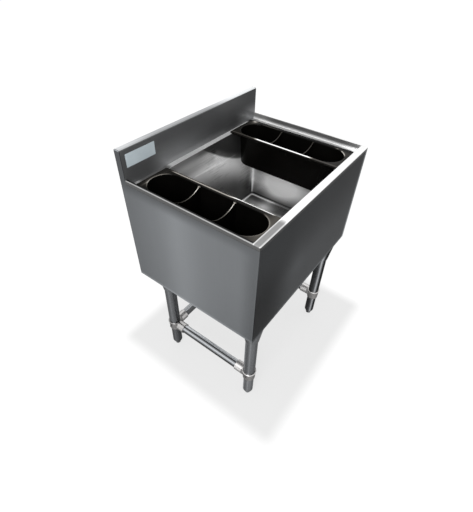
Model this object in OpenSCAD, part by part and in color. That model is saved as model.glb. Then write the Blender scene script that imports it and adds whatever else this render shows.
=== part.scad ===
/* [Cabinet] */
// Overall width, left side to right side
body_w = 609.6; // [540:0.1:700]
// Overall depth, front face to back face
body_d = 457.2; // [430:0.1:520]
// Height of the rim above the floor
rim_z = 796; // [760:1:860]
// Gauge of the stainless sheet
sheet_t = 1.2; // [0.9:0.1:1.5]
// Outside radius of the cabinet's folds
fold_r = 4; // [3:0.5:6]
// How far the front panel returns round each corner
front_return = 15; // [10:1:25]
// Height of the upturned edge of the bottom panel
pan_edge_h = 14; // [8:1:20]

/* [Rim and ledge] */
// Height of the rim's skirt above the seam with the panels
skirt_h = 12; // [9:1:16]
// Open seam between the rim's skirt and the panels
seam_gap = 0.5; // [0.2:0.1:0.8]
// Width of the flat rim along the front
front_rim_w = 21; // [15:1:30]
// Width of the narrow rims along the sides
side_rim_w = 7; // [6:0.5:12]
// Depth of the ledge below the rim
ledge_drop = 20; // [14:1:30]
// Width of the ledge along the front
ledge_front_w = 10.6; // [8:0.1:16]
// Width of the ledge along the back
ledge_back_w = 17.6; // [12:0.1:24]
// Width of the ledge along each side
ledge_side_w = 12; // [9:0.1:18]

/* [Backsplash] */
// Height of the backsplash above the rim
splash_h = 85; // [60:1:120]
// Depth of the backsplash, front face to back face
splash_d = 20.5; // [16:0.5:28]
// Height of the lip turned down at the back
splash_lip_h = 20; // [12:1:30]
// Width of the label plate
label_w = 102; // [80:1:120]
// Height of the label plate
label_h = 38; // [25:1:45]
// Thickness of the label plate
label_t = 0.4; // [0.3:0.1:0.8]
// Label's inset from the left side
label_inset = 15.5; // [10:0.5:40]
// Label's inset from the backsplash's top edge
label_drop = 16.2; // [10:0.1:20]

/* [Ice basin] */
// Depth of the basin below the ledge
basin_depth = 314; // [290:1:320]
// Space between the basin's floor and the cabinet's underside
floor_space = 30; // [28:1:60]
// Inside radius of the basin's corners and floor edges
basin_r = 15; // [10:0.5:22]
// Width of the basin's flange under the ledge
basin_flange_w = 9; // [6:0.5:11]
// Clearance round the foam insulation
foam_gap = 0.5; // [0.3:0.1:0.8]

/* [Bottle holders] */
// Width of a holder's flange
holder_w = 130; // [126:1:136]
// Play of the flange between front rim and backsplash
holder_play = 15.7; // [12:0.1:20]
// Height of the flange's turned-down edge
flange_h = 5; // [4:0.5:8]
// Wall of the moulded plastic
holder_t = 2.5; // [2:0.1:3]
// Corner radius of the flange
flange_r = 6; // [4:0.5:10]
// Radius of the flange's rounded edge
flange_edge_r = 2; // [1.2:0.1:2.4]
// Outside width of the tub under the flange
tub_w = 107; // [100:1:112]
// Outside depth of the tub below the flange's top
tub_depth = 118; // [100:1:130]
// How much narrower each side of the tub is at its floor
tub_draft = 5; // [3:0.5:8]
// Radius of the lip round the tub's mouth
lip_r = 4; // [2.5:0.5:4]
// Outside radius of the tub's floor edge
tub_floor_r = 6; // [5:0.5:12]
// Play of the tub in the basin's mouth, front to back
tub_play = 8.5; // [7:0.1:14]
// Clearance between the left tub and the basin's left and front edges
tub_clear = 1.4; // [1:0.1:3]
// Right tub's distance from the basin's right edge
right_tub_inset = 24.8; // [5:0.1:60]

/* [Dividers] */
// Thickness of a divider
divider_t = 2.5; // [1.5:0.1:4]
// Distance of each divider from the holder's middle
divider_y = 61; // [50:1:75]
// Drop of the divider's hollowed top edge
divider_dip = 17.5; // [12:0.5:35]
// Clearance of a divider in its guides
divider_gap = 0.4; // [0.3:0.05:0.6]
// Height of a guide rib above the wall
guide_h = 3; // [2:0.5:5]
// Thickness of a guide rib
guide_t = 2; // [1.5:0.1:3]

/* [Drain] */
// Radius of the drain's flange on the basin floor
drain_flange_r = 38; // [34:1:44]
// Radius of the drain's threaded body
drain_body_r = 24; // [22:0.5:27]
// Inside radius of the drain's bowl
drain_bowl_r = 21; // [18:0.5:21.5]
// Radius of the threaded tail
drain_tail_r = 16.7; // [15:0.1:18]
// Bore radius of the tail
drain_bore_r = 13; // [10:0.5:14]
// Length of tail below the cabinet
drain_tail_len = 35; // [25:1:60]
// Thickness of the strainer plate
strainer_t = 1.5; // [1:0.1:2]
// Radius of a strainer hole
strainer_hole_r = 1.6; // [1:0.1:1.8]

/* [Legs] */
// Outside radius of a leg tube
leg_r = 20.65; // [19:0.05:22]
// Wall of a leg tube
leg_wall = 1.5; // [1.2:0.1:2]
// Legs' inset from the sides
leg_side_inset = 64.7; // [50:0.1:80]
// Front legs' inset from the front
leg_front_inset = 39.5; // [38:0.1:60]
// Rear legs' inset from the back
leg_back_inset = 57.2; // [40:0.1:70]
// Height of the socket that holds a leg
socket_h = 90; // [60:1:110]
// Radius of the socket where it meets the cabinet
socket_top_r = 36; // [32:0.5:37.5]
// Radius of the socket at its lower rim
socket_low_r = 23.2; // [22.5:0.1:26]
// Wall of the socket's cone
socket_wall = 2.5; // [2:0.1:3]
// Length of the socket's straight grip on the leg
socket_grip_h = 30; // [24:1:40]
// Width of the stiffening channel over the legs
channel_w = 60; // [40:1:70]
// Height of the stiffening channel
channel_h = 20; // [12:1:24]
// Gauge of the stiffening channel
channel_t = 2; // [1.5:0.1:3]

/* [Braces] */
// Outside radius of a brace tube
brace_r = 15.875; // [14:0.005:17]
// Wall of a brace tube
brace_wall = 1.5; // [1.2:0.1:2]
// Height of the brace axes above the floor
brace_z = 134; // [128:1:170]
// Height of the collar on the leg
collar_h = 40; // [34:1:50]
// Outside radius of the bead round the collar's top
collar_r = 25; // [24.5:0.1:26.5]
// Height of the bead
bead_h = 5; // [3:0.5:6]
// Reach of the bead beyond the collar's wall
bead_reach = 1.4; // [0.8:0.1:2]
// Outside radius of a collar's stub
stub_r = 19.2; // [18:0.1:21]
// Reach of a stub from the leg's axis
stub_len = 54; // [45:1:60]
// Fitted gap between tubes and what holds them
tube_fit = 0.05; // [0.03:0.01:0.08]
// Radius of the set screws
screw_r = 3; // [2:0.1:4]

/* [Feet] */
// Height of the tube's open end above the floor
tube_end_z = 108; // [100:1:110]
// Radius of the foot's barrel
foot_r = 18.7; // [17:0.05:18.8]
// Height of the tip below the barrel's taper
tip_h = 10; // [6:0.5:14]
// Radius of the tip
tip_r = 10; // [8:0.5:12]
// Radius of the rounding under the tip
tip_round_r = 2; // [1:0.5:3]
// Height at which the barrel's taper ends
taper_z = 25; // [20:0.5:40]
// Length of barrel inside the leg tube
foot_in_tube = 17; // [12:1:20]
// Wall of the foot's hollow barrel
foot_wall = 2; // [1.5:0.1:3]
// Radius of the foot's threaded stud
stud_r = 6.35; // [5:0.05:8]
// Length of the threaded stud
stud_len = 65; // [60:1:80]
// Thread's running clearance in the nut
thread_gap = 0.1; // [0.08:0.01:0.15]
// Height of the nut fixed in the leg tube
nut_h = 22; // [16:1:28]
// Room above the barrel for screwing the foot in
foot_travel = 25; // [22:1:30]

/* [Hidden] */
$fn = 64;
arc_steps = 6;
// Overrun of every cut past the face it opens
over = 1;
half_w = body_w / 2;
half_d = body_d / 2;
ledge_z = rim_z - ledge_drop;
body_z = ledge_z - basin_depth - floor_space;
seam_z = rim_z - skirt_h;
rim_top_z = rim_z - sheet_t / 2;
panel_top_z = seam_z - seam_gap;
splash_z = rim_z + splash_h;
splash_y = half_d - splash_d;
inner_fold_r = fold_r - sheet_t;
rim_in_x = half_w - side_rim_w;
rim_in_y = front_rim_w - half_d;
ledge_x = rim_in_x + sheet_t;
mouth_x = rim_in_x - ledge_side_w;
mouth_front_y = rim_in_y + ledge_front_w;
mouth_back_y = splash_y - ledge_back_w;
mouth_d = mouth_back_y - mouth_front_y;
mouth_mid_y = (mouth_back_y + mouth_front_y) / 2;
basin_top_z = ledge_z - sheet_t;
basin_floor_z = ledge_z - basin_depth;
shell_in_x = half_w - sheet_t;
shell_in_y = half_d - sheet_t;
// Rear edge of the ledge, under the backsplash
ledge_rear_y = shell_in_y - sheet_t;
label_r = 1.5;
// Holder places
flange_z = ledge_z + flange_h;
flange_len = splash_y - rim_in_y - holder_play;
tub_len = mouth_d - tub_play;
tub_half = tub_w / 2;
mouth_half = tub_half - holder_t;
tub_straight = tub_len - tub_w;
left_holder_x = tub_half + tub_clear - mouth_x;
right_holder_x = mouth_x - right_tub_inset - tub_half;
left_holder_y = mouth_front_y + tub_clear + tub_len / 2;
right_holder_y = mouth_back_y - tub_clear - tub_len / 2;
tub_in_depth = tub_depth - holder_t;
tub_in_floor_r = tub_floor_r - holder_t;
guide_top = lip_r;
divider_top = lip_r / 2;
divider_half = mouth_half - divider_gap;
dip_r = (divider_half * divider_half + divider_dip * divider_dip) / (2 * divider_dip);
// Drain places
drain_flange_t = 2.5;
drain_step = 3;
drain_bowl_h = 14;
drain_shoulder_r = 18;
drain_shoulder_h = 5;
drain_hole_gap = 0.5;
gasket_t = 3;
gasket_r = 34;
locknut_h = 8;
locknut_r = 34;
strainer_gap = 0.4;
strainer_knob_r = 3;
strainer_knob_h = 5;
strainer_rings = 3;
drain_well_r = 40;
drain_body_low_z = basin_floor_z - sheet_t - gasket_t - locknut_h - drain_step;
// Leg places
leg_x = half_w - leg_side_inset;
leg_front_y = leg_front_inset - half_d;
leg_back_y = half_d - leg_back_inset;
socket_band_h = 4;
tube_in_r = leg_r - leg_wall;
channel_len_inset = 14;
channel_len = body_d - 2 * channel_len_inset;
collar_z = brace_z + stub_r;
collar_low_z = collar_z - collar_h;
collar_low_r = leg_r + leg_wall;
bead_r = bead_h / 2;
brace_end = collar_r + leg_wall;
screw_len = 7;
screw_hex_r = 1.6;
screw_hex_depth = 3;
screw_fit = 0.05;
socket_screw_drop = 12;
stub_screw_inset = 10;
barrel_top_z = tube_end_z + foot_in_tube;
nut_z = barrel_top_z + foot_travel;
taper_low_r = 12.5;

// Points of a round stretch, from one angle to another
function arc(x, y, r, from, to) =
    [for (i = [0 : arc_steps]) let (a = from + (to - from) * i / arc_steps) [x + r * cos(a), y + r * sin(a)]];

module rounded_rect(x0, x1, y0, y1, r) {
    translate([x0 + r, y0]) square([x1 - x0 - 2 * r, y1 - y0]);
    translate([x0, y0 + r]) square([x1 - x0, y1 - y0 - 2 * r]);
    for (x = [x0 + r, x1 - r], y = [y0 + r, y1 - r])
        translate([x, y]) circle(r);
}

module slab(x0, x1, y0, y1, z0, z1) {
    translate([x0, y0, z0]) cube([x1 - x0, y1 - y0, z1 - z0]);
}

// A rod of radius r from one point, along x or y
module rod_x(x0, x1, y, z, r) {
    translate([x0, y, z]) rotate([0, 90, 0]) cylinder(r = r, h = x1 - x0);
}

module rod_y(y0, y1, x, z, r) {
    translate([x, y1, z]) rotate([90, 0, 0]) cylinder(r = r, h = y1 - y0);
}

// Cabinet cap with rounded top edges and front corners, flat at the back
module cap_form(inset, z0) {
    r = fold_r - inset;
    x = half_w - inset;
    y = half_d - inset;
    z = rim_z - inset;
    slab(-x, x, r - y, splash_y, z0, z - r);
    slab(r - x, x - r, -y, splash_y, z0, z - r);
    slab(r - x, x - r, r - y, splash_y, z0, z);
    for (side = [-1, 1]) {
        translate([side * (x - r), r - y, z0]) cylinder(r = r, h = z - r - z0);
        rod_y(r - y, splash_y, side * (x - r), z - r, r);
        translate([side * (x - r), r - y, z - r]) sphere(r);
    }
    rod_x(r - x, x - r, r - y, z - r, r);
}

module rim_frame() {
    color("gainsboro") {
        difference() {
            cap_form(0, seam_z);
            cap_form(sheet_t, seam_z - over);
            slab(-rim_in_x, rim_in_x, rim_in_y, half_d, seam_z - over, rim_z + over);
            slab(-shell_in_x, shell_in_x, splash_y - over, splash_y + over, seam_z - over, rim_z - fold_r);
        }
        for (side = [-1, 1])
            translate([side * (rim_in_x + sheet_t / 2), 0, 0])
                slab(-sheet_t / 2, sheet_t / 2, rim_in_y - sheet_t, splash_y, basin_top_z, rim_top_z);
        slab(-ledge_x, ledge_x, rim_in_y - sheet_t, rim_in_y, basin_top_z, rim_top_z);
        difference() {
            slab(-ledge_x, ledge_x, rim_in_y - sheet_t, ledge_rear_y, basin_top_z, ledge_z);
            translate([0, 0, basin_top_z - over]) linear_extrude(sheet_t + 2 * over)
                rounded_rect(-mouth_x, mouth_x, mouth_front_y, mouth_back_y, basin_r);
        }
    }
}

// Outline of a side panel with the ear that closes the backsplash's end
module side_outline() {
    polygon(concat(
        [[front_return - half_d, body_z], [half_d, body_z]],
        arc(half_d - fold_r, splash_z - fold_r, fold_r, 0, 90),
        arc(splash_y + fold_r, splash_z - fold_r, fold_r, 90, 180),
        [[splash_y, panel_top_z], [front_return - half_d, panel_top_z]]));
}

module left_side_panel() {
    color("gray") translate([sheet_t - half_w, 0, 0]) rotate([90, 0, -90]) mirror([1, 0, 0])
        linear_extrude(sheet_t) side_outline();
}

module right_side_panel() {
    color("gray") mirror([1, 0, 0]) translate([sheet_t - half_w, 0, 0]) rotate([90, 0, -90])
        mirror([1, 0, 0]) linear_extrude(sheet_t) side_outline();
}

module front_panel() {
    color("dimgray") translate([0, 0, body_z]) linear_extrude(panel_top_z - body_z) difference() {
        union() {
            translate([-half_w, fold_r - half_d]) square([body_w, front_return - fold_r]);
            translate([fold_r - half_w, -half_d]) square([body_w - 2 * fold_r, front_return]);
            for (side = [-1, 1])
                translate([side * (half_w - fold_r), fold_r - half_d]) circle(fold_r);
        }
        translate([-shell_in_x, fold_r - half_d]) square([2 * shell_in_x, front_return]);
        translate([fold_r - half_w, sheet_t - half_d]) square([body_w - 2 * fold_r, front_return]);
        for (side = [-1, 1])
            translate([side * (half_w - fold_r), fold_r - half_d]) circle(inner_fold_r);
    }
}

module back_panel() {
    color("gray") {
        slab(-shell_in_x, shell_in_x, shell_in_y, half_d, body_z, basin_top_z);
        slab(-shell_in_x, shell_in_x, splash_y + sheet_t, half_d, basin_top_z - sheet_t, basin_top_z);
    }
}

module bottom_panel() {
    color("gray") difference() {
        translate([0, 0, body_z]) linear_extrude(pan_edge_h)
            rounded_rect(-shell_in_x, shell_in_x, -shell_in_y, shell_in_y, fold_r);
        translate([0, 0, body_z + sheet_t]) linear_extrude(pan_edge_h)
            rounded_rect(sheet_t - shell_in_x, shell_in_x - sheet_t, sheet_t - shell_in_y,
                shell_in_y - sheet_t, fold_r - sheet_t);
        translate([0, 0, body_z - over])
            cylinder(r = drain_shoulder_r + drain_hole_gap, h = sheet_t + 2 * over);
    }
}

// Backsplash: face, top fold and turned-down rear lip, bent from one sheet
module backsplash() {
    color("dimgray") translate([-shell_in_x, 0, 0]) rotate([90, 0, 90]) linear_extrude(2 * shell_in_x)
        polygon(concat(
            [[splash_y, ledge_z]],
            arc(splash_y + fold_r, splash_z - fold_r, fold_r, 180, 90),
            arc(half_d - fold_r, splash_z - fold_r, fold_r, 90, 0),
            [[half_d, splash_z - splash_lip_h], [shell_in_y, splash_z - splash_lip_h]],
            arc(half_d - fold_r, splash_z - fold_r, inner_fold_r, 0, 90),
            arc(splash_y + fold_r, splash_z - fold_r, inner_fold_r, 90, 180),
            [[splash_y + sheet_t, ledge_z]]));
}

module label_plate() {
    color("aliceblue") translate([0, splash_y, 0]) rotate([90, 0, 0]) linear_extrude(label_t)
        rounded_rect(label_inset - half_w, label_inset + label_w - half_w,
            splash_z - label_drop - label_h, splash_z - label_drop, label_r);
}

// Basin space with round corners and floor edges, grown outward by a distance
module basin_form(grow, top_z) {
    r = basin_r + grow;
    x = mouth_x + grow;
    y0 = mouth_front_y - grow;
    y1 = mouth_back_y + grow;
    z = basin_floor_z - grow;
    translate([0, 0, z + r]) linear_extrude(top_z - z - r) rounded_rect(-x, x, y0, y1, r);
    slab(r - x, x - r, y0 + r, y1 - r, z, z + 2 * r);
    for (y = [y0 + r, y1 - r]) rod_x(r - x, x - r, y, z + r, r);
    for (side = [-1, 1]) {
        rod_y(y0 + r, y1 - r, side * (x - r), z + r, r);
        for (y = [y0 + r, y1 - r]) translate([side * (x - r), y, z + r]) sphere(r);
    }
}

module basin() {
    color("silver") difference() {
        union() {
            basin_form(sheet_t, basin_top_z);
            translate([0, 0, basin_top_z - sheet_t]) linear_extrude(sheet_t)
                rounded_rect(-mouth_x - basin_flange_w, mouth_x + basin_flange_w,
                    mouth_front_y - basin_flange_w, mouth_back_y + basin_flange_w, basin_r);
        }
        basin_form(0, basin_top_z + over);
        translate([0, 0, basin_floor_z - sheet_t - over])
            cylinder(r = drain_body_r + drain_hole_gap, h = sheet_t + 2 * over);
    }
}

module basin_insulation() {
    foam_x = shell_in_x - sheet_t - foam_gap;
    foam_y = shell_in_y - sheet_t - foam_gap;
    foam_z0 = body_z + sheet_t + foam_gap;
    foam_z1 = basin_top_z - sheet_t - foam_gap;
    color("khaki") difference() {
        translate([0, 0, foam_z0]) linear_extrude(foam_z1 - foam_z0)
            rounded_rect(-foam_x, foam_x, -foam_y, foam_y, fold_r);
        basin_form(sheet_t + foam_gap, foam_z1 + over);
        translate([0, 0, foam_z0 - over]) cylinder(r = drain_well_r, h = basin_floor_z - foam_z0);
        for (side = [-1, 1])
            translate([side * leg_x, 0, 0])
                slab(-channel_w / 2 - foam_gap, channel_w / 2 + foam_gap, -half_d, half_d,
                    foam_z0 - over, body_z + sheet_t + channel_h + foam_gap);
    }
}

// Upturned channel on the bottom panel that carries two legs
module leg_channel(side) {
    z = body_z + sheet_t;
    color("darkgray") translate([side * leg_x, 0, 0]) difference() {
        slab(-channel_w / 2, channel_w / 2, -channel_len / 2, channel_len / 2, z, z + channel_h);
        slab(channel_t - channel_w / 2, channel_w / 2 - channel_t, -half_d, half_d,
            z + channel_t, z + channel_h + over);
    }
}

module left_leg_channel() { leg_channel(-1); }

module right_leg_channel() { leg_channel(1); }

module drain_body() {
    flange_top_z = basin_floor_z + drain_flange_t;
    shoulder_z = body_z - drain_shoulder_h;
    color("silver") rotate_extrude() polygon([
        [drain_bore_r, shoulder_z - drain_tail_len],
        [drain_tail_r, shoulder_z - drain_tail_len],
        [drain_tail_r, shoulder_z],
        [drain_shoulder_r, shoulder_z],
        [drain_shoulder_r, drain_body_low_z],
        [drain_body_r, drain_body_low_z],
        [drain_body_r, basin_floor_z],
        [drain_flange_r, basin_floor_z],
        [drain_flange_r, basin_floor_z + drain_flange_t / 2],
        [drain_flange_r - drain_flange_t, flange_top_z],
        [drain_bowl_r, flange_top_z],
        [drain_bowl_r, flange_top_z - drain_step],
        [drain_bowl_r - drain_step, flange_top_z - drain_step],
        [drain_bowl_r - drain_step, flange_top_z - drain_bowl_h],
        [drain_bore_r, flange_top_z - drain_bowl_h - drain_step]]);
}

module drain_gasket() {
    color("black") translate([0, 0, basin_floor_z - sheet_t - gasket_t]) difference() {
        cylinder(r = gasket_r, h = gasket_t);
        translate([0, 0, -over]) cylinder(r = drain_body_r + screw_fit, h = gasket_t + 2 * over);
    }
}

module drain_locknut() {
    color("goldenrod") translate([0, 0, basin_floor_z - sheet_t - gasket_t - locknut_h]) difference() {
        cylinder(r = locknut_r, h = locknut_h, $fn = 6);
        translate([0, 0, -over]) cylinder(r = drain_body_r + screw_fit, h = locknut_h + 2 * over);
    }
}

// Flat strainer with rings of holes and a lifting knob
module drain_strainer() {
    plate_r = drain_bowl_r - strainer_gap;
    ring_step = (drain_bowl_r - drain_step) / (strainer_rings + 1);
    color("silver") translate([0, 0, basin_floor_z + drain_flange_t - drain_step]) {
        difference() {
            cylinder(r = plate_r, h = strainer_t);
            for (ring = [1 : strainer_rings], i = [0 : 6 * ring - 1])
                rotate([0, 0, 60 * i / ring]) translate([ring * ring_step + strainer_hole_r / 2, 0, -over])
                    cylinder(r = strainer_hole_r, h = strainer_t + 2 * over, $fn = 24);
        }
        cylinder(r = strainer_knob_r / 2, h = strainer_knob_h);
        translate([0, 0, strainer_knob_h - strainer_t]) cylinder(r = strainer_knob_r, h = strainer_t);
    }
}

module at_leg(side, y) {
    translate([side * leg_x, y, 0]) children();
}

// Tapered socket under the cabinet that a leg stands in
module leg_socket(side, y) {
    low_z = body_z - socket_h;
    color("lightgray") at_leg(side, y) difference() {
        rotate_extrude() polygon([
            [leg_r + tube_fit, low_z],
            [socket_low_r, low_z],
            [socket_top_r, body_z - socket_band_h],
            [socket_top_r, body_z],
            [socket_top_r - socket_wall, body_z],
            [socket_top_r - socket_wall, body_z - socket_band_h],
            [leg_r + tube_fit, low_z + socket_grip_h]]);
        translate([0, 0, low_z + socket_screw_drop]) rotate([0, 90, side > 0 ? 180 : 0])
            cylinder(r = screw_r + screw_fit, h = socket_top_r);
    }
}

module front_left_socket() { leg_socket(-1, leg_front_y); }

module front_right_socket() { leg_socket(1, leg_front_y); }

module rear_left_socket() { leg_socket(-1, leg_back_y); }

module rear_right_socket() { leg_socket(1, leg_back_y); }

module leg_tube(side, y) {
    color("silver") at_leg(side, y) translate([0, 0, tube_end_z]) difference() {
        cylinder(r = leg_r, h = body_z - tube_end_z);
        translate([0, 0, -over]) cylinder(r = tube_in_r, h = body_z - tube_end_z + 2 * over);
    }
}

module front_left_leg() { leg_tube(-1, leg_front_y); }

module front_right_leg() { leg_tube(1, leg_front_y); }

module rear_left_leg() { leg_tube(-1, leg_back_y); }

module rear_right_leg() { leg_tube(1, leg_back_y); }

// Threaded nut pressed into the leg tube
module leg_nut(side, y) {
    color("dimgray") at_leg(side, y) translate([0, 0, nut_z]) difference() {
        cylinder(r = tube_in_r - tube_fit, h = nut_h);
        translate([0, 0, -over]) cylinder(r = stud_r + thread_gap, h = nut_h + 2 * over);
    }
}

module front_left_leg_nut() { leg_nut(-1, leg_front_y); }

module front_right_leg_nut() { leg_nut(1, leg_front_y); }

module rear_left_leg_nut() { leg_nut(-1, leg_back_y); }

module rear_right_leg_nut() { leg_nut(1, leg_back_y); }

// Cast collar that grips the leg, with a stub for each brace; turns are the stubs' directions
module brace_collar(side, y, turns) {
    color("whitesmoke") at_leg(side, y) difference() {
        union() {
            rotate_extrude() polygon([
                [leg_r / 2, collar_low_z],
                [collar_low_r, collar_low_z],
                [collar_r - bead_reach, collar_z - bead_r],
                [collar_r - bead_r, collar_z],
                [leg_r / 2, collar_z]]);
            translate([0, 0, collar_z - bead_r]) rotate_extrude() translate([collar_r - bead_r, 0]) circle(bead_r);
            for (turn = turns)
                rotate([0, 0, turn]) rod_x(leg_r / 2, stub_len, 0, brace_z, stub_r);
        }
        translate([0, 0, collar_low_z - over]) cylinder(r = leg_r + tube_fit, h = collar_h + 2 * over);
        for (turn = turns)
            rotate([0, 0, turn]) {
                rod_x(brace_end, stub_len + over, 0, brace_z, brace_r + tube_fit);
                translate([stub_len - stub_screw_inset, 0, brace_z - stub_r - over])
                    cylinder(r = screw_r + screw_fit, h = stub_r);
            }
        rotate([0, 0, side > 0 ? 0 : 180]) rod_x(leg_r / 2, collar_r + over, 0, brace_z, screw_r + screw_fit);
    }
}

module front_left_collar() { brace_collar(-1, leg_front_y, [90]); }

module front_right_collar() { brace_collar(1, leg_front_y, [90]); }

module rear_left_collar() { brace_collar(-1, leg_back_y, [-90, 0]); }

module rear_right_collar() { brace_collar(1, leg_back_y, [-90, 180]); }

module side_brace(side) {
    y0 = leg_front_y + brace_end;
    y1 = leg_back_y - brace_end;
    color("silver") difference() {
        rod_y(y0, y1, side * leg_x, brace_z, brace_r);
        rod_y(y0 - over, y1 + over, side * leg_x, brace_z, brace_r - brace_wall);
    }
}

module left_brace() { side_brace(-1); }

module right_brace() { side_brace(1); }

module rear_brace() {
    x = leg_x - brace_end;
    color("silver") difference() {
        rod_x(-x, x, leg_back_y, brace_z, brace_r);
        rod_x(-x - over, x + over, leg_back_y, brace_z, brace_r - brace_wall);
    }
}

// Adjustable foot: tip, taper, barrel in the tube and threaded stud
module foot(side, y) {
    color("gray") at_leg(side, y) rotate_extrude() polygon(concat(
        [[0, 0]],
        arc(tip_r - tip_round_r, tip_round_r, tip_round_r, -90, 0),
        [[tip_r, tip_h], [taper_low_r, tip_h], [foot_r, taper_z], [foot_r, barrel_top_z],
            [foot_r - foot_wall, barrel_top_z], [foot_r - foot_wall, taper_z], [stud_r, taper_z],
            [stud_r, barrel_top_z + stud_len], [0, barrel_top_z + stud_len]]));
}

module front_left_foot() { foot(-1, leg_front_y); }

module front_right_foot() { foot(1, leg_front_y); }

module rear_left_foot() { foot(-1, leg_back_y); }

module rear_right_foot() { foot(1, leg_back_y); }

// Grub screw along +x with its point at the origin
module set_screw() {
    rotate([0, 90, 0]) difference() {
        cylinder(r = screw_r, h = screw_len);
        translate([0, 0, screw_len - screw_hex_depth])
            cylinder(r = screw_hex_r, h = screw_hex_depth + over, $fn = 6);
    }
}

module socket_set_screws() {
    color("dimgray") for (side = [-1, 1], y = [leg_front_y, leg_back_y])
        at_leg(side, y) translate([0, 0, body_z - socket_h + socket_screw_drop])
            rotate([0, 0, side > 0 ? 180 : 0]) translate([leg_r + tube_fit, 0, 0]) set_screw();
}

module collar_set_screws() {
    color("dimgray") for (side = [-1, 1], y = [leg_front_y, leg_back_y])
        at_leg(side, y) translate([0, 0, brace_z])
            rotate([0, 0, side > 0 ? 0 : 180]) translate([leg_r + tube_fit, 0, 0]) set_screw();
}

module stub_screw(turn) {
    rotate([0, 0, turn]) translate([stub_len - stub_screw_inset, 0, brace_z - brace_r - tube_fit])
        rotate([0, 90, 0]) set_screw();
}

module stub_set_screws() {
    color("dimgray") for (side = [-1, 1]) {
        at_leg(side, leg_front_y) stub_screw(90);
        at_leg(side, leg_back_y) {
            stub_screw(-90);
            stub_screw(side > 0 ? 180 : 0);
        }
    }
}

// Half outline of the tub's space: width at the top, depth, floor radius
function tub_points(half, depth, r) = concat(
    [[0, -depth]],
    arc(half - tub_draft - r, r - depth, r, -90, 0),
    [[half, 0], [0, 0]]);

// Half outline of the cut inside the tub, with its lip rolled outward
function tub_cut_points() = concat(
    [[0, -tub_in_depth]],
    arc(mouth_half - tub_draft - tub_in_floor_r, tub_in_floor_r - tub_in_depth, tub_in_floor_r, -90, 0),
    arc(mouth_half + lip_r, -lip_r, lip_r, 180, 90),
    [[mouth_half + lip_r, over], [0, over]]);

function mirrored(points) = concat(points,
    [for (i = [len(points) - 1 : -1 : 0]) [-points[i][0], points[i][1]]]);

// Tub space swept from half outline points: two round ends and a straight middle
module tub_form(points) {
    for (turn = [0, 180])
        rotate([0, 0, turn]) translate([0, tub_straight / 2, 0]) rotate_extrude(angle = 180) polygon(points);
    translate([0, tub_straight / 2, 0]) rotate([90, 0, 0]) linear_extrude(tub_straight)
        polygon(mirrored(points));
}

// Slab with round corners and a rounded top edge, its top at zero
module soft_slab(w, d, h, r, edge) {
    x = w / 2;
    y = d / 2;
    translate([0, 0, -h]) linear_extrude(h - edge) rounded_rect(-x, x, -y, y, r);
    translate([0, 0, -h]) linear_extrude(h) rounded_rect(edge - x, x - edge, edge - y, y - edge, r - edge);
    for (side = [-1, 1]) {
        rod_x(r - x, x - r, side * (y - edge), -edge, edge);
        rod_y(r - y, y - r, side * (x - edge), -edge, edge);
        for (end = [-1, 1])
            translate([side * (x - r), end * (y - r), -edge]) rotate_extrude()
                translate([r - edge, 0]) circle(edge);
    }
}

module divider_guides() {
    reach = divider_t / 2 + divider_gap;
    for (end = [-1, 1], side = [-1, 1])
        translate([0, end * divider_y + side * (reach + guide_t / 2) + guide_t / 2, 0])
            rotate([90, 0, 0]) linear_extrude(guide_t) difference() {
                polygon(mirrored(tub_points(mouth_half + holder_t / 2, tub_in_depth, tub_in_floor_r)));
                polygon(mirrored(tub_points(mouth_half - guide_h, tub_in_depth + over, tub_in_floor_r)));
                translate([-tub_half, -guide_top]) square([tub_w, guide_top + over]);
            }
}

module bottle_holder(x, y) {
    color([0.07, 0.07, 0.065]) translate([x, y, flange_z]) {
        difference() {
            union() {
                difference() {
                    soft_slab(holder_w, flange_len, flange_h, flange_r, flange_edge_r);
                    translate([0, 0, -flange_h - over]) linear_extrude(flange_h - holder_t + over)
                        rounded_rect(holder_t - holder_w / 2, holder_w / 2 - holder_t,
                            holder_t - flange_len / 2, flange_len / 2 - holder_t, flange_r - holder_t);
                }
                tub_form(tub_points(tub_half, tub_depth, tub_floor_r));
            }
            tub_form(tub_cut_points());
        }
        divider_guides();
    }
}

module left_bottle_holder() { bottle_holder(left_holder_x, left_holder_y); }

module right_bottle_holder() { bottle_holder(right_holder_x, right_holder_y); }

// Divider plate with a hollowed top edge, standing between the guides
module divider(x, y, end) {
    color([0.07, 0.07, 0.065]) translate([x, y + end * divider_y + divider_t / 2, flange_z])
        rotate([90, 0, 0]) linear_extrude(divider_t) difference() {
            polygon(mirrored(tub_points(divider_half, tub_in_depth, tub_in_floor_r)));
            translate([-tub_half, -divider_top]) square([tub_w, divider_top + over]);
            translate([0, dip_r - divider_dip - divider_top]) circle(dip_r);
        }
}

module left_front_divider() { divider(left_holder_x, left_holder_y, -1); }

module left_rear_divider() { divider(left_holder_x, left_holder_y, 1); }

module right_front_divider() { divider(right_holder_x, right_holder_y, -1); }

module right_rear_divider() { divider(right_holder_x, right_holder_y, 1); }

left_side_panel();
right_side_panel();
front_panel();
back_panel();
bottom_panel();
rim_frame();
backsplash();
label_plate();
basin();
basin_insulation();
left_leg_channel();
right_leg_channel();
drain_body();
drain_gasket();
drain_locknut();
drain_strainer();
front_left_socket();
front_right_socket();
rear_left_socket();
rear_right_socket();
front_left_leg();
front_right_leg();
rear_left_leg();
rear_right_leg();
front_left_leg_nut();
front_right_leg_nut();
rear_left_leg_nut();
rear_right_leg_nut();
front_left_collar();
front_right_collar();
rear_left_collar();
rear_right_collar();
left_brace();
right_brace();
rear_brace();
front_left_foot();
front_right_foot();
rear_left_foot();
rear_right_foot();
socket_set_screws();
collar_set_screws();
stub_set_screws();
left_bottle_holder();
right_bottle_holder();
left_front_divider();
left_rear_divider();
right_front_divider();
right_rear_divider();
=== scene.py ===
import math
import bpy
from mathutils import Matrix, Vector

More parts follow.
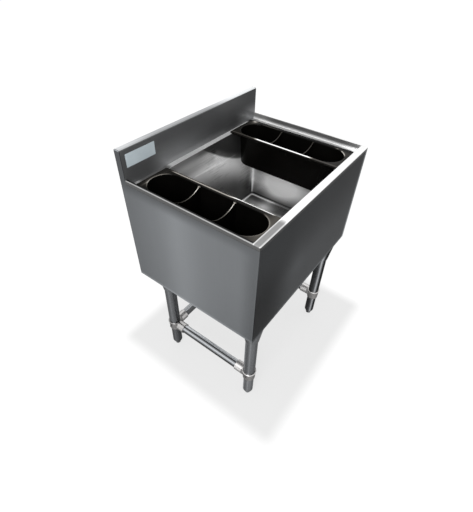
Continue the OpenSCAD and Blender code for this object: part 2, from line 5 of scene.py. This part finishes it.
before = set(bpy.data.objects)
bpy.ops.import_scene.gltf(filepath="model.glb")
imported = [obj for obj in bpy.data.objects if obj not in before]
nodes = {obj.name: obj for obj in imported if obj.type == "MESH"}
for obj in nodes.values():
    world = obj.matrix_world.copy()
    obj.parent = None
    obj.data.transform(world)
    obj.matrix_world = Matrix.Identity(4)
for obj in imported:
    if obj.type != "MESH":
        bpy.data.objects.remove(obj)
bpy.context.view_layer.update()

scene = bpy.context.scene
print("bin loaded with", len(nodes), "pieces")


class Wire:
    # one output socket, so that shader sums are written as sums
    def __init__(self, shader, socket):
        self.shader = shader
        self.socket = socket

    def sum(self, operation, *terms):
        return self.shader.add("ShaderNodeMath", {"operation": operation}, dict(enumerate(terms)))

    def __add__(self, other):
        return self.sum("ADD", self, other)

    def __radd__(self, other):
        return self.sum("ADD", other, self)

    def __sub__(self, other):
        return self.sum("SUBTRACT", self, other)

    def __rsub__(self, other):
        return self.sum("SUBTRACT", other, self)

    def __mul__(self, other):
        return self.sum("MULTIPLY", self, other)

    def __rmul__(self, other):
        return self.sum("MULTIPLY", other, self)

    def __truediv__(self, other):
        return self.sum("DIVIDE", self, other)

    def __rtruediv__(self, other):
        return self.sum("DIVIDE", other, self)

    def __pow__(self, other):
        return self.sum("POWER", self, other)

    def __abs__(self):
        return self.sum("ABSOLUTE", self)


class Shader:
    # builds one node tree
    def __init__(self, owner):
        owner.use_nodes = True
        self.tree = owner.node_tree
        self.tree.nodes.clear()

    def add(self, kind, settings=None, values=None, output=0):
        node = self.tree.nodes.new(kind)
        for name, setting in (settings or {}).items():
            setattr(node, name, setting)
        for key, value in (values or {}).items():
            if isinstance(value, Wire):
                self.tree.links.new(value.socket, node.inputs[key])
            else:
                node.inputs[key].default_value = value
        return Wire(self, node.outputs[output] if node.outputs else None)

    def place(self):
        # the piece's own place in the frame, in metres
        return self.add("ShaderNodeTexCoord", output="Object")

    def facing(self):
        # the way the surface looks, in the same axes
        return self.add("ShaderNodeTexCoord", output="Normal")

    def axes(self, vector):
        split = self.add("ShaderNodeSeparateXYZ", None, {0: vector})
        return [Wire(self, output) for output in split.socket.node.outputs]

    def stretch(self, vector, scale):
        return self.add("ShaderNodeVectorMath", {"operation": "MULTIPLY"}, {0: vector, 1: scale})

    def noise(self, vector, scale, detail, rough):
        return self.add("ShaderNodeTexNoise", None,
                        {"Vector": vector, "Scale": scale, "Detail": detail, "Roughness": rough})

    def rise(self, value, low, high):
        # 0 below low, 1 above high, smooth between
        return self.add("ShaderNodeMapRange", {"interpolation_type": "SMOOTHSTEP"},
                        {0: value, 1: low, 2: high, 3: 0, 4: 1})

    def hill(self, value, middle, width):
        # 1 at the middle, a half at one width from it
        reach = (value - middle) / width
        return 1 / (reach * reach + 1)

    def between(self, share, first, second):
        # plain numbers or sums, first where share is 0
        return first + (second - first) * share

    def atLeast(self, value, low):
        return self.add("ShaderNodeMath", {"operation": "MAXIMUM"}, {0: value, 1: low})

    def blend(self, share, first, second):
        # inputs 6 and 7 and output 2 are the mix node's colours
        return self.add("ShaderNodeMix", {"data_type": "RGBA"}, {0: share, 6: first, 7: second}, 2)

    def bump(self, height, strength, distance):
        return self.add("ShaderNodeBump", None,
                        {"Height": height, "Strength": strength, "Distance": distance})

    def surface(self, sockets):
        finish = self.add("ShaderNodeBsdfPrincipled", None, sockets)
        self.add("ShaderNodeOutputMaterial", None, {0: finish})


white = (1, 1, 1, 1)
black = (0, 0, 0, 1)


def grey(level):
    return (level, level, level, 1)


def newMaterial(name):
    material = bpy.data.materials.new(name)
    return material, Shader(material)


def dress(material, *names):
    for name in names:
        for slot in nodes[name].material_slots:
            slot.material = material


def corners(part):
    return [f"{end}_{side}_{part}" for end in ("front", "rear") for side in ("left", "right")]


# metres, degrees, and millimetres for the lens and its sensor
cameraView = {
    "place": (-0.80396, -0.52419, 1.31163),
    "azimuth": -54.312,
    "elevation": 43.109,
    "roll": 1.658,
    "lens": 25.294,
    "sensor": 36,
    "farEnd": 60,
}


def makeCamera(view):
    turn, lift, roll = (math.radians(view[key]) for key in ("azimuth", "elevation", "roll"))
    back = Vector((math.sin(turn) * math.cos(lift), -math.cos(turn) * math.cos(lift), math.sin(lift)))
    right = (-back).cross(Vector((0, 0, 1))).normalized()
    up = right.cross(-back)
    rolledRight = math.cos(roll) * right + math.sin(roll) * up
    rolledUp = math.cos(roll) * up - math.sin(roll) * right
    data = bpy.data.cameras.new("photoCamera")
    data.lens = view["lens"]
    data.sensor_width = view["sensor"]
    data.clip_end = view["farEnd"]
    camera = bpy.data.objects.new("photoCamera", data)
    turned = Matrix((rolledRight, rolledUp, back)).transposed().to_4x4()
    camera.matrix_world = Matrix.Translation(view["place"]) @ turned
    scene.collection.objects.link(camera)
    scene.camera = camera


makeCamera(cameraView)
print("camera placed")


# sheet metal
screenGamma = 2.2   # turns a grey seen on the screen into a share of light
darkestShade = 0.01
grainDepth = 0.0003


def steelMaterial(name, look, tone):
    # tone(shader, place, facing) gives the grey that the metal shows, as a share of white, with the
    # surface's light and shade painted into it by place and facing
    material, shader = newMaterial(name)
    place = shader.place()
    grain = shader.noise(shader.stretch(place, look["grain"]), scale=1, detail=3, rough=0.6)
    cloud = shader.noise(shader.stretch(place, look["cloud"]), scale=1, detail=3, rough=0.5)
    shade = (tone(shader, shader.axes(place), shader.axes(shader.facing()))
             + (grain - 0.5) * look["grainTone"] + (cloud - 0.5) * look["cloudTone"])
    light = shader.atLeast(shade, darkestShade) ** screenGamma * look["gain"]
    # the painted highlights turn white as they brighten, where the look asks for it
    tint = shader.blend(light, look["tint"], white) if "whitenPaintedHighlights" in look else look["tint"]
    rough = look["rough"] + (grain - 0.5) * look["grainRough"] + (cloud - 0.5) * look["cloudRough"]
    shader.surface({
        "Base Color": shader.blend(light, black, tint),
        "Metallic": look["metal"],
        "Roughness": rough,
        "Specular IOR Level": look["shine"],
        "Specular Tint": look["edge"],
        "Normal": shader.bump(grain, look["bump"], grainDepth),
    })
    return material


def evenTone(level):
    return lambda shader, place, facing: level


verticalGrain = (700, 700, 7)
crossGrain = (7, 700, 700)

shellSheet = {
    "grain": verticalGrain, "grainTone": 0.03, "grainRough": 0.1,
    "cloud": (6, 6, 1.8), "cloudTone": 0.045, "cloudRough": 0.06,
    "tint": (0.955, 1, 1.045, 1), "gain": 0.97, "metal": 1, "edge": grey(0.5),
    "shine": 0.3, "rough": 0.36, "bump": 0.06,
}


def sideTone(shader, y, z):
    # a painted soft light band behind the middle, painted shade at the front edge and under the rim,
    # and painted highlights on the bottom fold and the ear's top edge
    band = shader.hill(y, 0.03, 0.07)
    frontEdge = shader.rise(y, -0.17, -0.225)
    underRim = shader.rise(z, 0.745, 0.79)
    bottomFold = shader.rise(z, 0.446, 0.434)
    earTop = shader.rise(z, 0.876, 0.880)
    tone = shader.between(underRim, 0.45 + 0.09 * band - 0.07 * frontEdge, 0.38)
    return tone + 0.08 * bottomFold + 0.4 * earTop


def frontTone(shader, x, z):
    # painted light and shade: a faint lighter patch left of the middle, darkest at the left edge, and
    # painted highlights on the folds
    low = shader.rise(z, 0.74, 0.55)
    rightPart = shader.rise(x, -0.22, -0.05)
    leftEdge = shader.rise(x, -0.12, -0.26)
    patch = shader.hill(x, -0.09, 0.06) * shader.hill(z, 0.58, 0.05)
    rightEnd = shader.rise(x, 0, 0.2)
    bottomFold = shader.rise(z, 0.447, 0.437)
    rightFold = shader.rise(x, 0.284, 0.293)
    tone = 0.252 + (0.06 * rightPart - 0.075 * leftEdge) * low + 0.04 * patch
    return tone - 0.02 * rightEnd + 0.14 * bottomFold + 0.29 * rightFold


def shellTone(shader, place, facing):
    x, y, z = place
    sideways = shader.rise(abs(facing[0]), 0.55, 0.85)
    return shader.between(sideways, frontTone(shader, x, z), sideTone(shader, y, z))


shellSteel = steelMaterial("shellSteel", shellSheet, shellTone)
dress(shellSteel, "left_side_panel", "right_side_panel", "front_panel")

splashSheet = dict(shellSheet, grain=crossGrain, cloud=(5, 5, 5), cloudTone=0.03,
                   tint=(0.98, 1, 1.02, 1), metal=0.6, rough=0.4, gain=1.1)


def splashTone(shader, place, facing):
    x, y, z = place
    # the upright face, with painted reflections: lighter low down in the middle and at the right end's
    # foot
    low = shader.rise(z, 0.865, 0.79)
    rightEnd = shader.rise(x, 0.1, 0.28)
    lowMiddle = low * shader.rise(x, -0.225, -0.15) * shader.rise(x, 0.08, -0.1)
    rightFoot = shader.rise(z, 0.845, 0.79) * shader.rise(x, 0.17, 0.27)
    lowShade = low * shader.hill(x, 0.1, 0.05)
    face = (0.37 - 0.04 * x - 0.1 * rightEnd + 0.15 * lowMiddle
            + 0.26 * rightFoot - 0.04 * lowShade)
    # the folded top, with painted light and shade along it
    leftShade = shader.rise(x, -0.29, -0.15)
    rightLight = shader.rise(x, 0.03, 0.2)
    rearEdge = shader.rise(y, 0.222, 0.2265) * shader.rise(abs(x + 0.1), 0.12, 0.2)
    frontEdge = shader.rise(y, 0.216, 0.211)
    top = 0.8 - 0.13 * leftShade + 0.3 * rightLight + 0.1 * rearEdge - 0.1 * frontEdge
    return shader.between(shader.rise(facing[2], 0.5, 0.8), face, top)


dress(steelMaterial("splashSteel", splashSheet, splashTone), "backsplash")

rimSheet = dict(shellSheet, grain=crossGrain, cloud=(14, 14, 14), cloudTone=0.06,
                tint=white, metal=0.65, rough=0.35, gain=1.05)


def rimTopTone(shader, x, y):
    # painted light and shade on the rim's top, with painted highlights along its edges
    frontEdges = shader.rise(y, -0.2125, -0.2085) + shader.rise(y, -0.2235, -0.2275)
    front = 0.55 + 0.45 * shader.rise(x, -0.205, -0.18) + 0.3 * frontEdges
    right = 0.58 + 0.4 * shader.rise(y, 0.0, -0.19)
    left = 0.64 - 0.5 * shader.rise(x, -0.3032, -0.3008)
    sides = shader.between(shader.rise(x, -0.05, 0.05), left, right)
    return shader.between(shader.rise(y, -0.206, -0.2085), sides, front)


def ledgeTone(shader, x, y):
    # painted shade under the left holder, painted light beside the right one and in the fold's foot
    underLeft = shader.rise(abs(x + 0.205), 0.065, 0.045)
    rightStrip = 0.7 * shader.rise(x, 0.25, 0.27) - 0.45 * shader.rise(x, 0.275, 0.281)
    rearCorner = shader.rise(x, 0.25, 0.28) * shader.rise(y, 0.17, 0.19)
    foldFoot = shader.rise(x, 0.2945, 0.2965)
    return (0.86 + 0.12 * shader.rise(x, -0.06, 0.02) - 0.4 * underLeft
            - shader.rise(y, -0.2, -0.1) * rightStrip - 0.15 * rearCorner + 0.3 * foldFoot)


def rimTone(shader, place, facing):
    x, y, z = place
    aboveLedge = shader.rise(z, 0.781, 0.786)
    flat = shader.between(aboveLedge, ledgeTone(shader, x, y), rimTopTone(shader, x, y))
    # the fold's inner face, painted lighter at its foot and toward its ends, and the skirt outside
    # that carries on the shell's painted tone a little darker
    innerFoot = shader.rise(z, 0.787, 0.778)
    innerEnds = shader.rise(abs(y + 0.02), 0.13, 0.19)
    inner = 0.46 + 0.4 * innerFoot + 0.17 * innerEnds
    outside = shader.atLeast(shader.rise(abs(x), 0.3015, 0.3035), shader.rise(y, -0.2255, -0.2275))
    upright = shader.between(outside, inner, shellTone(shader, place, facing) * 0.84)
    return shader.between(shader.rise(facing[2], 0.25, 0.6), upright, flat)


dress(steelMaterial("rimSteel", rimSheet, rimTone), "rim_frame")

basinSheet = dict(shellSheet, grain=crossGrain, cloud=(4, 4, 4), tint=white, metal=0.3, rough=0.28,
                  gain=1, edge=grey(0.8), grainTone=0.003, grainRough=0.02, cloudTone=0.04, bump=0.005)


def basinBackTone(shader, x, z):
    # a slanting band of soft mirrored light, with the right holder's dark reflection over it
    slant = z + 0.34 * x
    steep = z + (0.77 - 1.1 * x) * x
    base = 0.33 + 0.15 * shader.rise(x, 0.05, -0.05) + 0.09 * shader.rise(x, 0.15, 0.22)
    band = shader.between(shader.rise(slant, 0.59, 0.715), base, 0.95)
    reflection = 0.55 * shader.rise(steep, 0.766, 0.776) + 0.15 * shader.rise(steep, 0.776, 0.8)
    leftShade = 0.2 * shader.rise(z, 0.7, 0.722) * shader.rise(x, 0.07, 0.03)
    mouthDepth = 0.2 + 0.17 * shader.rise(x, -0.06, 0)
    mouthShade = mouthDepth * shader.rise(z, 0.742, 0.768) * shader.rise(x, 0.08, 0.02)
    endShade = 0.07 * shader.rise(z, 0.71, 0.73) * shader.rise(x, 0, -0.05)
    tone = shader.atLeast(band - reflection - leftShade - mouthShade - endShade, 0.24)
    thinLine = shader.hill(z + 0.046 * x, 0.6943, 0.002) * shader.rise(abs(x - 0.055), 0.12, 0.1)
    cornerShade = shader.hill(x, 0.25, 0.02)
    cornerLight = shader.rise(x, 0.265, 0.278) * shader.rise(z, 0.48, 0.54)
    return tone + 0.15 * thinLine - 0.1 * cornerShade + 0.3 * cornerLight


def basinRightTone(shader, y, z):
    # a patch of light low on the wall
    low = shader.rise(z, 0.465, 0.54)
    high = shader.rise(z, 0.562, 0.588)
    patch = shader.rise(z, 0.445, 0.505) * shader.rise(y, 0.17, 0.07) * shader.rise(y, -0.09, 0.06)
    return 0.27 + 0.42 * low - 0.15 * high + 0.42 * patch


def basinFloorTone(shader, x, y):
    # painted light: a bright stripe near the back and a lighter rear part
    stripe = shader.hill(y, 0.095, 0.03)
    rearPart = shader.rise(x, 0.265, 0.235) * shader.rise(y, 0.03, 0.08)
    return 0.28 + 0.45 * stripe + 0.25 * rearPart


def basinTone(shader, place, facing):
    x, y, z = place
    # the walls and the floor that lie under the left holder send light across
    back = shader.between(shader.rise(facing[1], 0.2, 0.5), basinBackTone(shader, x, z), 1)
    right = shader.between(shader.rise(facing[0], 0.2, 0.5), basinRightTone(shader, y, z), 1)
    floor = shader.between(shader.rise(x, 0.235, 0.2), basinFloorTone(shader, x, y), 1)
    # thin light and dark lines round the corner and along the cove
    turn = abs(facing[0])
    upright = shader.rise(facing[2], 0.25, 0.1)
    cornerLines = 0.7 * shader.hill(turn, 0.75, 0.1) - 0.35 * shader.hill(turn, 0.3, 0.08)
    wall = shader.between(shader.rise(turn, 0.6, 0.8), back, right) + upright * cornerLines
    cove = shader.between(shader.rise(facing[2], 0.6, 0.8), wall, floor)
    lit = 0.25 + 0.65 * shader.rise(y, 0.06, 0.1)
    coveLight = shader.hill(facing[2], 0.82, 0.07) * shader.rise(facing[2], 0.99, 0.95)
    coveShade = shader.hill(facing[2], 0.45, 0.08) * shader.rise(facing[0], 0.3, -0.3)
    return cove + lit * coveLight - 0.25 * coveShade


dress(steelMaterial("basinSteel", basinSheet, basinTone), "basin")

backSheet = dict(shellSheet, grainTone=0.05, cloudTone=0.06, tint=white, rough=0.42)
dress(steelMaterial("backSteel", backSheet, evenTone(0.6)),
      "back_panel", "bottom_panel", "left_leg_channel", "right_leg_channel")
print("sheet metal dressed")


# tubes, sockets and castings
tubeLook = {
    "grain": (60, 60, 500), "grainTone": 0.03, "grainRough": 0.05,
    "cloud": (14, 14, 14), "cloudTone": 0.06, "cloudRough": 0.05,
    "tint": (0.97, 1, 1.04, 1), "gain": 0.95, "metal": 1, "edge": grey(0.5),
    "shine": 0.3, "rough": 0.28, "bump": 0.03,
}
# directions in which the long reflections change: round the upright tubes, round the side braces
# and round the rear brace
acrossX, acrossY = 0.584, -0.812
sideTiltX, sideTiltZ = 0.755, 0.656
rearTiltY, rearTiltZ = 0.848, 0.529


def tubeTone(shader, place, facing):
    # long upright reflections round a polished tube, softer on the legs that stand in shade
    x, y, z = place
    turn = facing[0] * acrossX + facing[1] * acrossY
    frontLeft = (0.43 + 0.1 * shader.hill(turn, -0.2, 0.1) + 0.3 * shader.rise(turn, -0.8, -0.97)
                 - 0.06 * shader.hill(turn, -0.6, 0.15) - 0.05 * shader.rise(turn, 0.4, 0.7))
    rearLeft = 0.38 + 0.09 * shader.hill(turn, -0.15, 0.2) - 0.05 * shader.rise(turn, 0.3, 0.6)
    right = 0.2 + 0.5 * shader.hill(turn, 0.0, 0.2) - 0.1 * shader.rise(turn, 0.2, 0.45)
    low = shader.rise(z, 0.115, 0.105)
    left = shader.between(shader.rise(y, -0.05, 0.05), frontLeft + 0.05 * low, rearLeft - 0.05 * low)
    return shader.between(shader.rise(x, -0.05, 0.05), left, right)


dress(steelMaterial("tubeSteel", tubeLook, tubeTone),
      *corners("leg"), *corners("foot"), *corners("socket"))

braceLook = dict(tubeLook, grain=(300, 300, 300), rough=0.2, metal=0.6, gain=1.1)


def braceTone(shader, place, facing):
    # painted reflections round the braces, set by how each face tilts
    tilt = facing[0] * sideTiltX + facing[2] * sideTiltZ
    side = (0.42 - 0.28 * shader.hill(tilt, 0.47, 0.11) + 0.34 * shader.hill(tilt, -0.03, 0.2)
            - 0.26 * shader.rise(tilt, -0.25, -0.55) + 0.35 * shader.rise(tilt, 0.5, 0.7))
    tip = facing[1] * rearTiltY + facing[2] * rearTiltZ
    rear = 0.3 + 0.6 * shader.hill(tip, 0.27, 0.15) + 0.3 * shader.rise(tip, 0.5, 0.7)
    return shader.between(shader.rise(place[1], 0.150, 0.154), side, rear)


dress(steelMaterial("braceSteel", braceLook, braceTone), "left_brace", "right_brace", "rear_brace")

castLook = dict(tubeLook, grain=(250, 250, 250), tint=(1.02, 1, 0.99, 1), rough=0.3, gain=1.05)


def castTone(shader, place, facing):
    x, y, z = place
    # painted reflections round the collar's wall, a painted highlight on its top bead, and painted
    # light on the stubs' upward faces
    turn = facing[0] * acrossX + facing[1] * acrossY
    rear = shader.rise(y, -0.05, 0.05)
    wall = 0.47 + 0.06 * shader.hill(turn, 0.1, 0.3) - 0.06 * shader.rise(abs(turn), 0.6, 0.9)
    bead = (0.78 - 0.2 * rear) * shader.rise(z, 0.1475, 0.149)
    # the stubs stand out from the legs along the braces
    sideStub = shader.rise(y, -0.1645, -0.1615) * shader.rise(y, 0.1465, 0.1435)
    out = shader.atLeast(shader.rise(abs(x), 0.2155, 0.2125), sideStub)
    stub = 0.58 - 0.08 * rear + 0.26 * shader.rise(facing[2], 0.0, 0.6)
    return shader.between(out, shader.atLeast(wall, bead), stub)


dress(steelMaterial("castMetal", castLook, castTone), *corners("collar"))

hardwareLook = dict(castLook, rough=0.35)
dress(steelMaterial("hardwareSteel", hardwareLook, evenTone(0.5)),
      "socket_set_screws", "collar_set_screws", "stub_set_screws", *corners("leg_nut"))

drainLook = dict(castLook, rough=0.2)
drainTone = evenTone(0.8)
dress(steelMaterial("drainSteel", drainLook, drainTone), "drain_body", "drain_strainer")

brassLook = dict(castLook, tint=(1, 0.72, 0.32, 1))
dress(steelMaterial("locknutBrass", brassLook, drainTone), "drain_locknut")
print("legs, braces and drain dressed")


# moulded holders, label, gasket and foam
def mouldedMaterial(name, look):
    material, shader = newMaterial(name)
    place = shader.place()
    speck = shader.noise(place, look["speckScale"], detail=2, rough=0.6)
    cloud = shader.noise(place, look["cloudScale"], detail=3, rough=0.5)
    rough = look["rough"] + (speck - 0.5) * look["speckRough"] + (cloud - 0.5) * look["cloudRough"]
    shader.surface({
        "Base Color": shader.blend(cloud, look["dark"], look["light"]),
        "Metallic": 0,
        "Roughness": rough,
        "Specular IOR Level": look["shine"],
        "Normal": shader.bump(speck, look["bump"], grainDepth),
    })
    return material


holderLook = dict(castLook, grain=(900, 900, 900), grainTone=0.02, cloudTone=0.03, cloudRough=0.1,
                  tint=(1.09, 1, 0.87, 1), whitenPaintedHighlights=True, metal=0, edge=white, shine=0.06, gain=1,
                  rough=0.25, bump=0.04)
# x, y and radius of the round ends of the mouths that carry a painted highlight arc
leftRearEnd = (-0.2309, 0.1299, 0.0523)
leftFrontEnd = (-0.2309, -0.1421, 0.0523)
rightFrontEnd = (0.2075, -0.1364, 0.0525)


def paintedHighlightArc(shader, x, y, end, width):
    endX, endY, radius = end
    reach = ((x - endX) ** 2 + (y - endY) ** 2) ** 0.5
    return shader.hill(reach, radius, width)


def leftFlangeTone(shader, x, y):
    # a painted highlight line along the inner edge, stronger and a little further in at the front,
    # with painted glints and highlight arcs at the mouth's ends, and the flange painted lighter toward
    # the front end
    front = shader.rise(y, -0.03, -0.08)
    edge = -0.172 + 0.005 * front
    line = shader.rise(x, edge - 0.003, edge - 0.0015) * shader.rise(x, edge + 0.003, edge + 0.0015)
    reach = shader.rise(y, 0.175, 0.15) * shader.rise(y, -0.186, -0.17)
    frontEnd = shader.rise(y, -0.15, -0.2)
    rearSpot = shader.hill(x, -0.245, 0.015) * shader.hill(y, 0.176, 0.003)
    rearArc = paintedHighlightArc(shader, x, y, leftRearEnd, 0.001) * shader.rise(y, 0.155, 0.168)
    frontArc = paintedHighlightArc(shader, x, y, leftFrontEnd, 0.0014) * shader.rise(y, -0.15, -0.165)
    return (0.11 + line * (0.45 + 0.55 * front) * reach + 0.17 * frontEnd
            + 0.5 * rearSpot + 0.45 * rearArc + 0.35 * frontArc)


def rightFlangeTone(shader, x, y):
    # a painted highlight line along the inner edge, painted glints and a painted highlight arc near
    # the outer one, and painted shade along the outer edge
    middle = shader.rise(y, 0.11, 0.085) * shader.rise(y, -0.12, -0.095)
    line = shader.rise(x, 0.1465, 0.148) * shader.rise(x, 0.155, 0.1535)
    outerShade = shader.rise(x, 0.25, 0.258)
    rearSpot = shader.hill(x, 0.263, 0.006) * shader.hill(y, 0.177, 0.008)
    rearLine = shader.hill(x, 0.2595, 0.001) * shader.rise(y, 0.04, 0.1) * shader.rise(y, 0.145, 0.135)
    frontSpot = shader.hill(x, 0.2595, 0.003) * shader.hill(y, -0.146, 0.006)
    frontArc = (paintedHighlightArc(shader, x, y, rightFrontEnd, 0.0013)
                * shader.rise(y, -0.156, -0.168) * shader.rise(x, 0.222, 0.234))
    return (0.13 - 0.1 * outerShade + (0.1 + 0.9 * middle) * line + 0.75 * rearSpot
            + 0.4 * rearLine + 0.4 * frontSpot + 0.8 * frontArc)


def holderTone(shader, place, facing):
    # black inside, with painted light on the upward faces: brownish grey on the flange and painted
    # highlights on the dividers' tops
    x, y, z = place
    flange = shader.between(shader.rise(x, -0.05, 0.05),
                            leftFlangeTone(shader, x, y), rightFlangeTone(shader, x, y))
    divider = 0.2 + 0.55 * shader.hill(x, -0.192, 0.016) + 0.55 * shader.hill(x, 0.165, 0.012)
    top = shader.between(shader.rise(z, 0.7785, 0.7792), divider, flange)
    upward = shader.rise(facing[2], 0.6, 0.9) * shader.rise(z, 0.755, 0.758)
    return shader.between(upward, 0.055, top)


dress(steelMaterial("holderPlastic", holderLook, holderTone),
      "left_bottle_holder", "right_bottle_holder",
      *[f"{side}_{end}_divider" for side in ("left", "right") for end in ("front", "rear")])

labelLook = {
    "speckScale": 400, "speckRough": 0.1, "cloudScale": 30, "cloudRough": 0.1, "shine": 0.5,
    "dark": (0.39, 0.45, 0.48, 1), "light": (0.47, 0.53, 0.56, 1), "rough": 0.4, "bump": 0.05,
}
dress(mouldedMaterial("labelFace", labelLook), "label_plate")

gasketLook = {
    "speckScale": 600, "speckRough": 0.1, "cloudScale": 30, "cloudRough": 0.1, "shine": 0.4,
    "dark": grey(0.01), "light": grey(0.03), "rough": 0.6, "bump": 0.2,
}
dress(mouldedMaterial("gasketRubber", gasketLook), "drain_gasket")

foamLook = {
    "speckScale": 500, "speckRough": 0.1, "cloudScale": 40, "cloudRough": 0.05, "shine": 0.2,
    "dark": (0.6, 0.52, 0.32, 1), "light": (0.75, 0.68, 0.46, 1), "rough": 0.9, "bump": 0.5,
}
dress(mouldedMaterial("blownFoam", foamLook), "basin_insulation")
print("holders and small parts dressed")


studio = {
    "floorHalf": 12,
    "shadeLow": (-0.359, -0.36), "shadeHigh": (0.42, 0.365), "shadeSoft": 0.035, "shadeTone": 0.235,
    "floorGlow": 0.92, "floorLit": 0.1, "floorPlain": 0.8,
    "skyTop": 1.08, "skyLow": 0.55, "skyRise": (-0.1, 0.7),
    "keyPlace": (-2.4, -0.7, 2.2), "keyAim": (0, 0, 0.5), "keySize": 1.2, "keyPower": 62,
}


def makeFloor(setup):
    half = setup["floorHalf"]
    points = [(-half, -half, 0), (half, -half, 0), (half, half, 0), (-half, half, 0)]
    mesh = bpy.data.meshes.new("studioFloor")
    mesh.from_pydata(points, [], [(0, 1, 2, 3)])
    floor = bpy.data.objects.new("studioFloor", mesh)
    scene.collection.objects.link(floor)
    # paper that glows where the camera sees it, with a painted shadow: greyer in a soft-edged patch
    # round the legs
    material, shader = newMaterial("floorPaper")
    soft = setup["shadeSoft"]
    inside = 1
    for value, low, high in zip(shader.axes(shader.place()), setup["shadeLow"], setup["shadeHigh"]):
        inside = (shader.rise(value, low - soft, low + soft)
                  * shader.rise(value, high + soft, high - soft) * inside)
    paper = shader.blend(inside * setup["shadeTone"], white, black)
    glow = shader.add("ShaderNodeEmission", None, {0: paper, 1: setup["floorGlow"]})
    matt = shader.add("ShaderNodeBsdfDiffuse", None, {0: grey(setup["floorLit"])})
    seen = shader.add("ShaderNodeAddShader", None, {0: glow, 1: matt})
    plain = shader.add("ShaderNodeBsdfDiffuse", None, {0: grey(setup["floorPlain"])})
    path = shader.add("ShaderNodeLightPath")
    both = shader.add("ShaderNodeMixShader", None, {0: path, 1: plain, 2: seen})
    shader.add("ShaderNodeOutputMaterial", None, {0: both})
    mesh.materials.append(material)


def makeSky(setup):
    world = bpy.data.worlds.new("studioSky")
    scene.world = world
    shader = Shader(world)
    upward = shader.axes(shader.add("ShaderNodeTexCoord", output="Generated"))[2]
    level = shader.between(shader.rise(upward, *setup["skyRise"]), setup["skyLow"], setup["skyTop"])
    light = shader.add("ShaderNodeBackground", None, {0: white, 1: level})
    plain = shader.add("ShaderNodeBackground", None, {0: white, 1: 1})
    path = shader.add("ShaderNodeLightPath")
    both = shader.add("ShaderNodeMixShader", None, {0: path, 1: light, 2: plain})
    shader.add("ShaderNodeOutputWorld", None, {0: both})


def makeKey(setup):
    data = bpy.data.lights.new("keyLight", "AREA")
    data.size = setup["keySize"]
    data.energy = setup["keyPower"]
    lamp = bpy.data.objects.new("keyLight", data)
    place = Vector(setup["keyPlace"])
    aim = (place - Vector(setup["keyAim"])).to_track_quat("Z", "Y")
    lamp.matrix_world = Matrix.Translation(place) @ aim.to_matrix().to_4x4()
    scene.collection.objects.link(lamp)


makeFloor(studio)
makeSky(studio)
makeKey(studio)
scene.view_settings.view_transform = "Standard"
print("studio lit")
